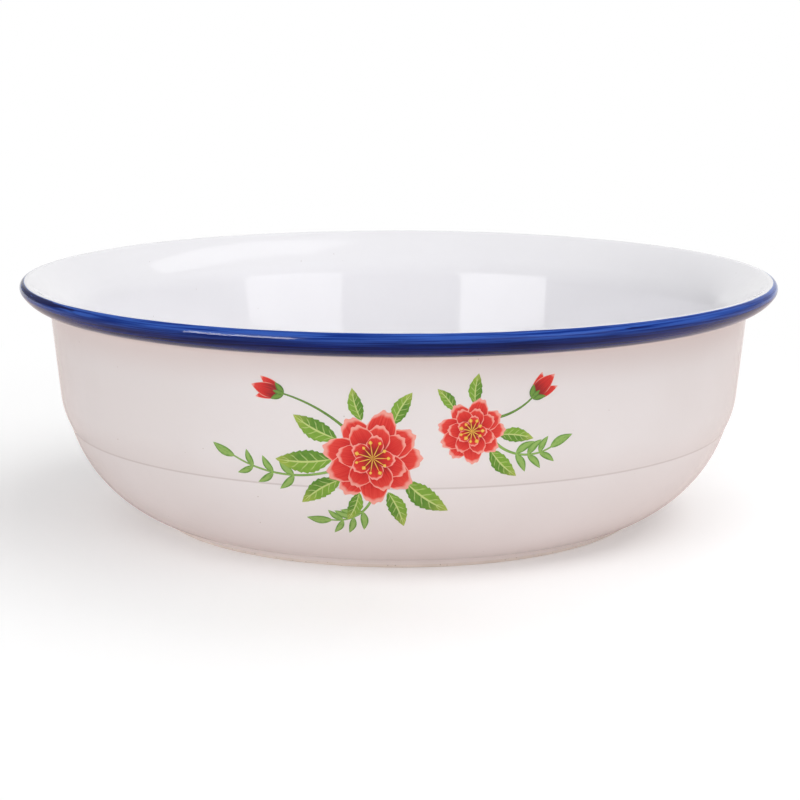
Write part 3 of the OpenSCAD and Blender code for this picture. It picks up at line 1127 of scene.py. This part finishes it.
@dataclass
class FloralPrint:
    """Spray of red blossoms, buds, leaves and sprigs on the front wall."""

    section: Section
    hand: HandWork
    drop: float = 43.6
    spread: float = 110.0
    blossom_d: float = 34.0
    small_blossom_d: float = 23.0
    bud_l: float = 11.0
    leaf_l: float = 20.0
    leaflet_l: float = 9.0
    leaf_ratio: float = 0.42
    bud_ratio: float = 0.62
    stem_w: float = 1.0
    stem_reach: float = 1.05
    stem_taper: float = 0.45
    root_share: float = 0.82
    petal_neck: float = 0.30
    petal_belly: float = 0.72
    petal_draw: float = 0.16
    petal_crown: float = 0.24
    ruffle: float = 0.028
    tooth: float = 0.17
    tooth_top: float = 1.06
    cup_root: float = 0.97
    cup_lean: float = 38.0
    cup_side: float = 0.46
    cup_middle: float = 0.36
    # Lean, share of the length and share of the width of each furled petal
    bud_petals: tuple[tuple[float, float, float], ...] = (
        (24, 0.86, 0.62), (-24, 0.86, 0.62), (0, 1.0, 0.78)
    )
    stamen_ring: float = 0.16
    stamen_d: float = 1.3
    stamen_count: int = 11
    leaflet_pairs: int = 3
    leaflet_from: float = 0.4
    leaflet_angle: float = 48.0
    leaflet_slim: float = 0.85
    # Number of petals, reach, width and layer of each ring
    rings: tuple[tuple[int, float, float, Layer], ...] = (
        (9, 1.0, 0.62, Layer.OUTER), (7, 0.74, 0.50, Layer.MIDDLE), (5, 0.47, 0.36, Layer.INNER)
    )
    lift_step: float = 0.011
    petal_ink: PetalInk = PetalInk("red_petal_print")
    leaf_ink: LeafInk = LeafInk("green_leaf_print")
    stem_ink: PlainInk = PlainInk("green_stem_print", (0.16, 0.34, 0.05), (0.07, 0.19, 0.03))
    sprig_ink: PlainInk = PlainInk("green_sprig_print", (0.29, 0.50, 0.12), (0.13, 0.32, 0.05))
    pollen_ink: PlainInk = PlainInk("yellow_stamen_print", (0.90, 0.62, 0.10), (0.72, 0.34, 0.03))

    def __post_init__(self) -> None:
        """Lay out the spray in shares of its spread."""
        self.level = self.section.height - self.drop
        large = Blossom(self.place(-0.08, -0.02), self.blossom_d)
        small = Blossom(self.place(0.23, 0.065), self.small_blossom_d)
        self.blossoms = (large, small)
        # Blossom, heading and share of the leaf's length
        self.leaves = (
            (large, 152, 0.86), (large, 183, 1.0), (large, 216, 0.84), (large, 250, 0.6),
            (large, 292, 0.74), (large, 322, 0.96), (large, 60, 0.66), (large, 106, 0.6),
            (small, 312, 0.7), (small, 350, 0.62), (small, 84, 0.56), (small, 128, 0.5),
        )
        self.bud_stems = (
            self.stem(large, 132, (-0.27, 0.145), (-0.365, 0.18)),
            self.stem(small, 28, (0.375, 0.13), (0.42, 0.165)),
        )
        self.sprigs = (
            self.stem(large, 200, (-0.385, -0.085), (-0.52, -0.04)),
            self.stem(small, 331, (0.385, -0.02), (0.48, -0.005)),
            self.stem(large, 270, (-0.12, -0.215), (-0.21, -0.245)),
        )

    def place(self, across: float, up: float) -> Vector:
        """Return a place in the print, given in shares of its spread."""
        return self.spread * Vector((across, up))

    def stem(
        self, blossom: Blossom, turn: float, through: tuple[float, float], end: tuple[float, float]
    ) -> Stem:
        """Return a stem whose points are given in shares of the spread."""
        return Stem(blossom, turn, self.place(*through), self.place(*end), self.root_share)

    def film(self) -> PrintFilm:
        """Return an empty film at the level of the print."""
        return PrintFilm(self.section, self.level)

    def petal_outline(self, length: float, width: float, phase: float) -> Outline:
        """Shape a broad petal with a ruffled edge.

        Args:
            length: Length from its root.
            width: Width where it is broadest.
            phase: Angle that sets off its ruffles.

        Returns:
            Outline of the petal.
        """

        def outline(across: float, along: float) -> Vector:
            """Place a point of the petal.

            Args:
                across: From -1 to 1.
                along: From 0 to 1.

            Returns:
                Place in millimetres.
            """
            rise = math.sin(math.pi / 2 * min(1.0, along / self.petal_belly))
            swell = self.petal_neck + (1 - self.petal_neck) * rise
            swell *= 1 - self.petal_draw * ease(along, 0.7, 1.0)
            crown = 1 - self.petal_crown * abs(across) ** 2.4 * along
            crown += self.ruffle * math.cos(3 * math.pi * across + phase) * along ** 4
            return Vector((length * along * crown, across * width / 2 * swell))

        return outline

    def leaf_outline(self, length: float, width: float, teeth: int, bow: float) -> Outline:
        """Shape a pointed leaf with a bowed midrib.

        Args:
            length: Length from its root.
            width: Width where it is broadest.
            teeth: Number of teeth on each edge, or 0 for smooth edges.
            bow: Bow of the midrib as a share of the length.

        Returns:
            Outline of the leaf.
        """

        def outline(across: float, along: float) -> Vector:
            """Place a point of the leaf.

            Args:
                across: From -1 to 1.
                along: From 0 to 1.

            Returns:
                Place in millimetres.
            """
            half = width / 2 * math.sin(math.pi * along ** 0.85) ** 0.9 if 0 < along < 1 else 0.0
            if teeth:
                half *= self.tooth_top - self.tooth * ((along * teeth) % 1.0)
            return Vector((length * along, across * half + bow * length * math.sin(math.pi * along)))

        return outline

    def stem_outline(self, stem: Stem, reach: float, width: float) -> Outline:
        """Shape a stem that tapers towards its end.

        Args:
            stem: Arc that it follows.
            reach: Share of the arc at which it ends.
            width: Width at its root.

        Returns:
            Outline of the stem.
        """

        def outline(across: float, along: float) -> Vector:
            """Return the place on the stem, across and up from the middle of the print."""
            point, way = stem.at(along * reach)
            return polar(point, across * width / 2 * (1 - self.stem_taper * along), way + 90)

        return outline

    def add_stalk(self, film: PrintFilm, stem: Stem) -> None:
        """Add a stem that runs a little past the end of its arc."""
        stalk = self.stem_outline(stem, self.stem_reach, self.stem_w)
        film.add(stalk, Vector((0.0, 0.0)), 0.0, Layer.STEM.value, 0.5, (2, 24))

    def make_blossoms(self) -> bpy.types.Object:
        """Build the petals of both blossoms.

        Returns:
            The finished piece.
        """
        film = self.film()
        for blossom in self.blossoms:
            for ring, (count, reach, width, layer) in enumerate(self.rings):
                # Sines of the number make every petal a little different
                for i in range(count):
                    turn = (i + 0.5 * ring) * 360 / count + 9 * math.sin(5.1 * i + ring)
                    length = blossom.size / 2 * reach * (1 + 0.035 * math.sin(3.7 * i + ring))
                    outline = self.petal_outline(length, blossom.size / 2 * width, 1.9 * i)
                    lift = layer.value + self.lift_step * (i % 3 if i < count - 1 else 1.5)
                    tone = 0.25 * ring + 0.4 * abs(math.sin(2.3 * i + ring))
                    film.add(outline, blossom.spot, turn, lift, tone, (12, 14))
        role = Role("blossoms", "blossom_print", "red_print")
        return finish_piece(film.lay(), role, self.petal_ink, self.hand)

    def make_stamens(self) -> bpy.types.Object:
        """Build the dots and threads in the middle of both blossoms.

        Returns:
            The finished piece.
        """
        film = self.film()
        for blossom in self.blossoms:
            for i in range(self.stamen_count):
                turn = i * 360 / self.stamen_count
                reach = blossom.size * self.stamen_ring * (1 + 0.12 * math.sin(4.3 * i))
                thread = self.leaf_outline(reach, 0.35, 0, 0.0)
                film.add(thread, blossom.spot, turn, Layer.POLLEN.value, 0.2, (2, 6))
                size = self.stamen_d * (1 + 0.15 * math.sin(2.9 * i))
                dot = self.leaf_outline(size, size, 0, 0.0)
                film.add(dot, polar(blossom.spot, reach - size / 2, turn), turn,
                         Layer.POLLEN.value + self.lift_step, 0.1 * i, (6, 8))
        role = Role("stamens", "stamen_print", "yellow_print")
        return finish_piece(film.lay(), role, self.pollen_ink, self.hand)

    def make_buds(self) -> bpy.types.Object:
        """Build the furled petals of the buds.

        Returns:
            The finished piece.
        """
        film = self.film()
        for number, stem in enumerate(self.bud_stems):
            point, way = stem.at(1.0)
            for i, (lean, share, wide) in enumerate(self.bud_petals):
                length = self.bud_l * share
                outline = self.leaf_outline(length, length * self.bud_ratio * wide, 0, 0.03 * (i - 1))
                film.add(outline, point, way + lean, Layer.OUTER.value + self.lift_step * i,
                         0.2 * i + 0.3 * number, (8, 14))
        role = Role("buds", "bud_print", "red_print")
        return finish_piece(film.lay(), role, self.petal_ink, self.hand)

    def make_leaves(self) -> bpy.types.Object:
        """Build the leaves that stand out behind the blossoms.

        Returns:
            The finished piece.
        """
        film = self.film()
        for i, (blossom, turn, share) in enumerate(self.leaves):
            length = self.leaf_l * share
            bow = 0.05 * math.copysign(1, math.sin(2.1 * i))
            teeth = max(5, round(length / 2.2))
            outline = self.leaf_outline(length, length * self.leaf_ratio, teeth, bow)
            lift = Layer.LEAF.value + self.lift_step * (i % 2)
            film.add(outline, blossom.root(turn, self.root_share), turn, lift, 0.37 * i % 1.0, (8, teeth * 4))
        role = Role("leaves", "leaf_print", "green_print")
        return finish_piece(film.lay(), role, self.leaf_ink, self.hand)

    def make_sprigs(self) -> bpy.types.Object:
        """Build the sprigs with their pairs of leaflets.

        Returns:
            The finished piece.
        """
        film = self.film()
        for stem in self.sprigs:
            self.add_stalk(film, stem)
            for i in range(self.leaflet_pairs):
                share = self.leaflet_from + (1 - self.leaflet_from) * i / self.leaflet_pairs
                point, way = stem.at(share)
                length = self.leaflet_l * (1 - share / 3)
                outline = self.leaf_outline(length, length * self.leaf_ratio * self.leaflet_slim, 0, 0.06)
                for number, side in enumerate((-1, 1)):
                    lift = Layer.STEM.value + self.lift_step * (1 + number)
                    tone = 0.2 * i + 0.1 * number
                    film.add(outline, point, way + side * self.leaflet_angle, lift, tone, (4, 10))
            point, way = stem.at(1.0)
            width = self.leaflet_l * self.leaf_ratio * self.leaflet_slim
            outline = self.leaf_outline(self.leaflet_l, width, 0, 0.05)
            film.add(outline, point, way, Layer.STEM.value + 3 * self.lift_step, 0.9, (4, 12))
        role = Role("sprigs", "sprig_print", "green_print")
        return finish_piece(film.lay(), role, self.sprig_ink, self.hand)

    def make_stems(self) -> bpy.types.Object:
        """Build the stems of the buds with the small green cups that hold them.

        Returns:
            The finished piece.
        """
        film = self.film()
        for stem in self.bud_stems:
            self.add_stalk(film, stem)
            point, way = stem.at(self.cup_root)
            for i, lean in enumerate((self.cup_lean, -self.cup_lean, 0.0)):
                length = self.bud_l * (self.cup_side if lean else self.cup_middle)
                outline = self.leaf_outline(length, length * self.leaf_ratio, 0, 0.0)
                lift = Layer.MIDDLE.value + self.lift_step * (1 + i)
                film.add(outline, point, way + lean, lift, 0.3 * i, (4, 10))
        role = Role("stems", "stem_print", "green_print")
        return finish_piece(film.lay(), role, self.stem_ink, self.hand)

    def build(self) -> list[bpy.types.Object]:
        """Build the whole print and return its pieces."""
        return [
            self.make_stems(), self.make_sprigs(), self.make_leaves(),
            self.make_blossoms(), self.make_buds(), self.make_stamens(),
        ]


@dataclass(frozen=True)
class SoftBox:
    """Rectangular studio lamp that points at the basin."""

    name: str
    turn: float
    rise: float
    distance: float
    width: float
    height: float
    glow: float
    mirrored: bool = True
    lights: bool = True
    aim: Vector = Vector((0.0, 0.0, 0.05))

    def build(self) -> bpy.types.Object:
        """Build the lamp.

        Returns:
            The lamp's object.
        """
        turn, rise = math.radians(self.turn), math.radians(self.rise)
        flat = math.cos(rise)
        out = Vector((math.sin(turn) * flat, -math.cos(turn) * flat, math.sin(rise)))
        lamp = bpy.data.lights.new(self.name, "AREA")
        lamp.shape = "RECTANGLE"
        lamp.size = self.width
        lamp.size_y = self.height
        lamp.energy = self.glow * math.pi * self.width * self.height
        made = bpy.data.objects.new(self.name, lamp)
        made.visible_glossy = self.mirrored
        made.visible_diffuse = self.lights
        made.location = self.aim + self.distance * out
        made.rotation_euler = (-out).to_track_quat("-Z", "Y").to_euler()
        bpy.context.scene.collection.objects.link(made)
        return made


@dataclass
class Studio:
    """Pale floor, white backdrop, soft lamps and the camera."""

    floor_radius: float = 30.0
    floor_drop: float = 0.00005
    floor_colour: Colour = (0.93, 0.93, 0.93)
    floor_bounce: Colour = (0.73, 0.63, 0.60)
    floor_glow: float = 0.20
    fade_from: float = 0.15
    fade_to: float = 0.45
    room: float = 0.24
    behind_aside: float = 0.5
    behind_above: float = 0.3
    behind_glow: float = 0.85
    eye: Vector = Vector((0.0, -0.850, 0.21137))
    pitch: float = 11.162
    yaw: float = -0.0421
    roll: float = 0.115
    lens: float = 96.03
    sensor: float = 36.0
    clip: tuple[float, float] = (0.01, 50.0)
    # Turn, rise, distance, width, height and glow of each lamp
    lamps: tuple[SoftBox, ...] = (
        SoftBox("right_softbox", 43.0, 15.5, 1.65, 1.17, 0.88, 2.0),
        SoftBox("left_softbox", -43.0, 15.5, 1.65, 1.04, 0.88, 2.8),
        SoftBox("left_card", -41.0, 2.0, 0.68, 0.37, 0.145, 36.0, lights=False),
        SoftBox("top_softbox", 136.0, 61.0, 1.70, 0.40, 1.00, 0.95),
        SoftBox("front_fill", 0.0, 55.0, 1.60, 1.80, 1.20, 0.70, False),
        SoftBox("overhead_fill", 90.0, 62.0, 1.60, 1.80, 1.80, 1.20, False),
        SoftBox("back_fill", 180.0, 34.0, 1.60, 1.80, 1.00, 1.15, False),
    )

    def backdrop_rays(self, graph: Graph, behind: Socket) -> Socket:
        """Return the share of white for a ray.

        Args:
            graph: Graph of the floor or the world.
            behind: Share of white in a reflection, which is 1 behind the basin.

        Returns:
            1 for the camera, the share given in a reflection or through glass, and 0 for light on a surface.
        """
        path = graph.node("ShaderNodeLightPath", {}).outputs
        mirrored = graph.math("MAXIMUM", path["Is Glossy Ray"], path["Is Transmission Ray"])
        return graph.math("MAXIMUM", path["Is Camera Ray"], graph.math("MULTIPLY", mirrored, behind))

    def floor(self) -> bpy.types.Object:
        """Build the floor as one wide disc.

        Returns:
            The floor's object.
        """
        shape = bmesh.new()
        bmesh.ops.create_circle(shape, cap_ends=True, segments=96, radius=self.floor_radius)
        bmesh.ops.translate(shape, verts=shape.verts[:], vec=(0, 0, -self.floor_drop))
        mesh = bpy.data.meshes.new("floor")
        shape.to_mesh(mesh)
        shape.free()
        mesh.materials.append(self.floor_finish())
        floor = bpy.data.objects.new("floor", mesh)
        bpy.context.scene.collection.objects.link(floor)
        return floor

    def floor_finish(self) -> bpy.types.Material:
        """Make the floor's surface, which keeps the basin's shadow and fades into the white backdrop.

        Returns:
            The material, which is clear from below.
        """
        graph = Graph.of_material("pale_floor")
        place = graph.place()
        reach = graph.node("ShaderNodeVectorMath", {0: place}, operation="LENGTH").outputs["Value"]
        behind = graph.step(graph.parts(place)[1], 0.2, 0.8)
        far = graph.step(reach, self.fade_from, self.fade_to)
        share = graph.math("MULTIPLY", far, self.backdrop_rays(graph, behind))
        seen = graph.node("ShaderNodeLightPath", {}).outputs["Is Camera Ray"]
        colour = graph.mix(seen, self.floor_bounce, self.floor_colour)
        matte = graph.node("ShaderNodeBsdfDiffuse", {"Color": colour}).outputs[0]
        glow = graph.node("ShaderNodeEmission", {"Color": colour, "Strength": self.floor_glow}).outputs[0]
        lit = graph.node("ShaderNodeAddShader", {0: matte, 1: glow}).outputs[0]
        white = graph.node("ShaderNodeEmission", {"Color": (1.0, 1.0, 1.0), "Strength": 1.0}).outputs[0]
        above = graph.node("ShaderNodeMixShader", {0: share, 1: lit, 2: white}).outputs[0]
        clear = graph.node("ShaderNodeBsdfTransparent", {}).outputs[0]
        under = graph.node("ShaderNodeNewGeometry", {}).outputs["Backfacing"]
        return graph.finish(graph.node("ShaderNodeMixShader", {0: under, 1: above, 2: clear}).outputs[0])

    def backdrop(self) -> None:
        """Set the world: white to the camera and behind the basin, and a dim room elsewhere."""
        world = bpy.data.worlds.new("studio")
        bpy.context.scene.world = world
        graph = Graph(world)
        x, y, z = graph.parts(graph.node("ShaderNodeTexCoord", {}).outputs["Generated"])
        aside = graph.math("MULTIPLY", graph.math("ABSOLUTE", x), self.behind_aside)
        above = graph.math("MULTIPLY", z, self.behind_above)
        back = graph.math("SUBTRACT", graph.math("SUBTRACT", y, aside), above)
        behind = graph.step(back, -0.2, 1.0, 0.0, self.behind_glow)
        behind = graph.math("MULTIPLY", behind, graph.step(x, -0.45, -0.20))
        share = self.backdrop_rays(graph, behind)
        strength = graph.node("ShaderNodeMix", {0: share, 2: self.room, 3: 1.0}).outputs[0]
        glow = graph.node("ShaderNodeBackground", {"Color": (1.0, 1.0, 1.0), "Strength": strength}).outputs[0]
        graph.node("ShaderNodeOutputWorld", {"Surface": glow})

    def camera(self) -> bpy.types.Object:
        """Build the camera at the photograph's angle.

        Returns:
            The camera's object.
        """
        data = bpy.data.cameras.new("camera")
        data.lens = self.lens
        data.sensor_width = self.sensor
        data.clip_start, data.clip_end = self.clip
        made = bpy.data.objects.new("camera", data)
        made.location = self.eye
        turn = Matrix.Rotation(math.radians(self.yaw), 3, "Z")
        tilt = Matrix.Rotation(math.radians(90 - self.pitch), 3, "X")
        lean = Matrix.Rotation(math.radians(self.roll), 3, "Z")
        made.rotation_euler = (turn @ tilt @ lean).to_euler()
        bpy.context.scene.collection.objects.link(made)
        bpy.context.scene.camera = made
        return made

    def build(self) -> None:
        """Set up the floor, the backdrop, the lamps and the camera."""
        self.floor()
        self.backdrop()
        for lamp in self.lamps:
            lamp.build()
        self.camera()
        bpy.context.scene.view_settings.view_transform = "Standard"


def main() -> None:
    """Build the studio and every piece of the basin, and report each piece."""
    logging.basicConfig(level=logging.INFO, format="%(message)s")
    Studio().build()
    section, hand = Section(), HandWork()
    section.check()
    pieces = [ClayBody(section, hand).build()]
    coats = GlazeCoats(section, hand)
    pieces += [coats.inside(), coats.outside(), coats.base(), LipBand(section, hand).build()]
    pieces += FloralPrint(section, hand).build()
    LOG.info("%d pieces for %d nodes", len(pieces), len(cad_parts))


if __name__ == "__main__":
    main()
